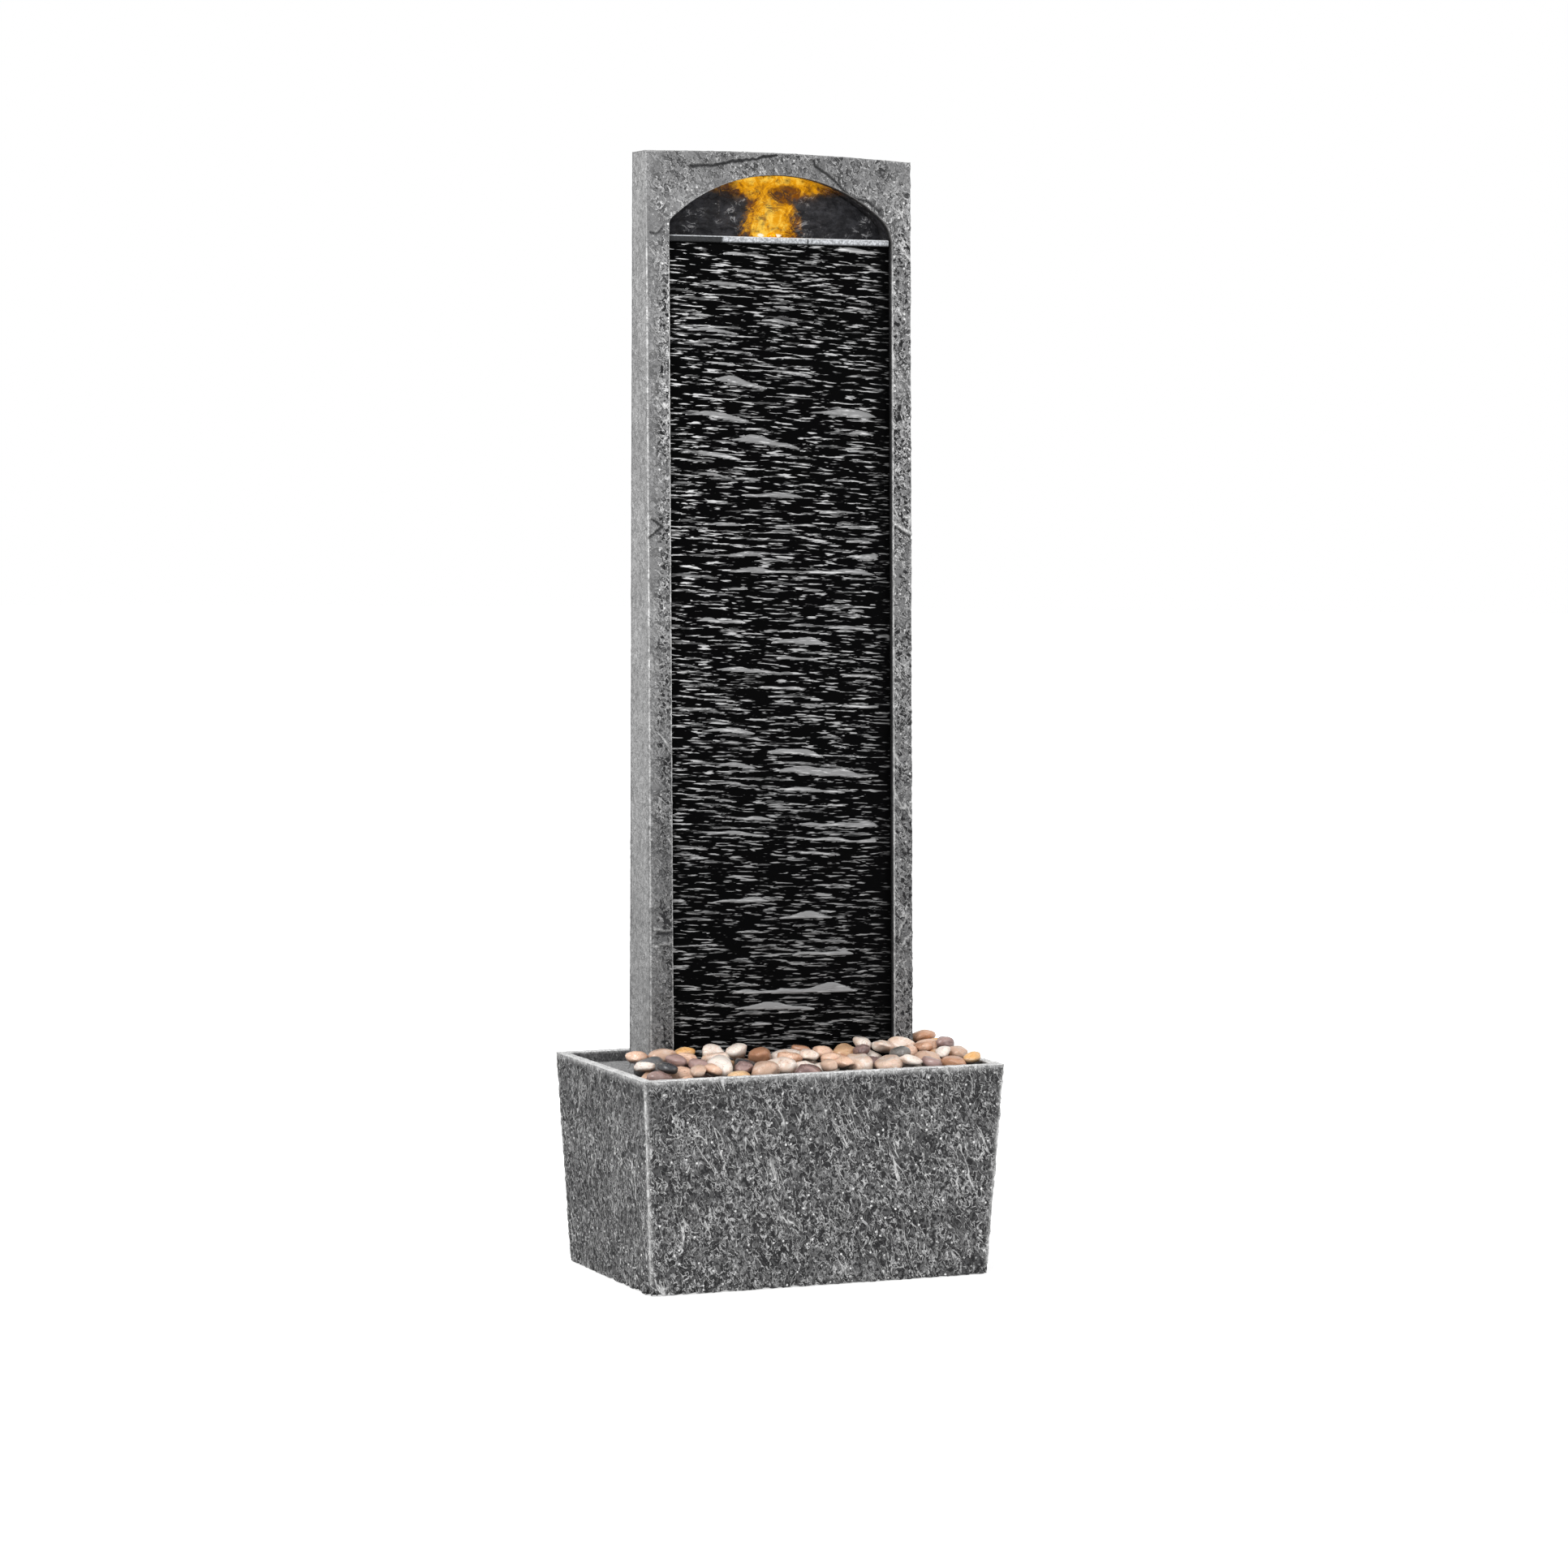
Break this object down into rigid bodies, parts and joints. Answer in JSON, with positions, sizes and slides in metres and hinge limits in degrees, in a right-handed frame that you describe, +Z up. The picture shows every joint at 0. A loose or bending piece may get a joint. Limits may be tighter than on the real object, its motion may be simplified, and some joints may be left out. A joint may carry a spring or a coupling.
{
  "type": "cascading fountain",
  "caption": "Tall garden fountain: an arched, leaning stone-effect tower with a lit niche, spill lip and rippled wall stands in a flared basin of pebbles over a submersible pump.",
  "frame": {"origin": "centre of the basin's base, on the floor", "axes": "+Z up, the arched front faces -Y, +X to the right seen from the front"},
  "size_m": [0.34, 0.22, 0.98],
  "materials": {
    "basin_stone": "rough cast, dry-brushed",
    "tower_stone": "rough cast, weathered",
    "wet_slate": "wet, riven",
    "back_panel_grey": "moulded, matt",
    "niche_charcoal": "rough, dark",
    "lip_grey": "worn, pale",
    "pump_black": "moulded",
    "black_rubber": "moulded",
    "clear_hose": "translucent vinyl",
    "white_plastic": "moulded",
    "steel": "zinc plated",
    "ceramic_white": "ground",
    "ferrite": "pressed",
    "board_green": "solder mask",
    "amber_lens": "moulded, lit",
    "pebble_tan": "tumbled",
    "pebble_cream": "tumbled",
    "pebble_amber": "tumbled",
    "pebble_mauve": "tumbled",
    "pebble_slate": "tumbled"
  },
  "bodies": {
    "basin": {"basin": "basin_stone", "cord_grommet": "black_rubber", "pump_housing": "pump_black", "volute_cover": "pump_black", "volute_seal": "black_rubber", "cover_screws": "steel", "outlet_spigot": "pump_black", "rotor_shaft": "ceramic_white", "shaft_bush_front": "black_rubber", "shaft_bush_rear": "black_rubber", "suction_cups": "black_rubber", "pump_cable_gland": "black_rubber", "led_socket": "pump_black"},
    "tower": {"tower_shell": "tower_stone", "tower_back_panel": "back_panel_grey", "back_panel_screws": "steel", "cascade_panel": "wet_slate", "niche_liner": "niche_charcoal", "spill_trough": "lip_grey", "trough_inlet": "white_plastic", "inlet_washer": "black_rubber", "inlet_nut": "white_plastic", "riser_hose": "clear_hose", "hose_clips": "steel", "led_housing": "pump_black", "led_board": "board_green", "led_lens": "amber_lens", "led_washer": "black_rubber", "led_nut": "pump_black", "led_lead": "black_rubber", "lead_clips": "white_plastic", "led_plug": "black_rubber", "pebbles_tan": "pebble_tan", "pebbles_cream": "pebble_cream", "pebbles_amber": "pebble_amber", "pebbles_mauve": "pebble_mauve", "pebbles_slate": "pebble_slate"},
    "rotor": {"rotor_magnet": "ferrite", "impeller": "white_plastic"},
    "strainer": {"inlet_strainer": "pump_black"},
    "dial": {"flow_dial": "white_plastic"}
  },
  "joints": [
    {"name": "tower_lift", "type": "slide", "parent": "basin", "child": "tower", "axis": [0, 0, 1], "range_m": [0, 0.25]},
    {"name": "rotor_spin", "type": "hinge", "parent": "basin", "child": "rotor", "pos_m": [-0.049, 0.02466, 0.038], "axis": [1, 0, 0], "continuous": true},
    {"name": "strainer_pull", "type": "slide", "parent": "basin", "child": "strainer", "axis": [-1, 0, 0], "range_m": [0, 0.03]},
    {"name": "flow_dial_turn", "type": "hinge", "parent": "strainer", "child": "dial", "pos_m": [-0.0912, 0.02466, 0.038], "axis": [-1, 0, 0], "range_deg": [0, 60]}
  ]
}
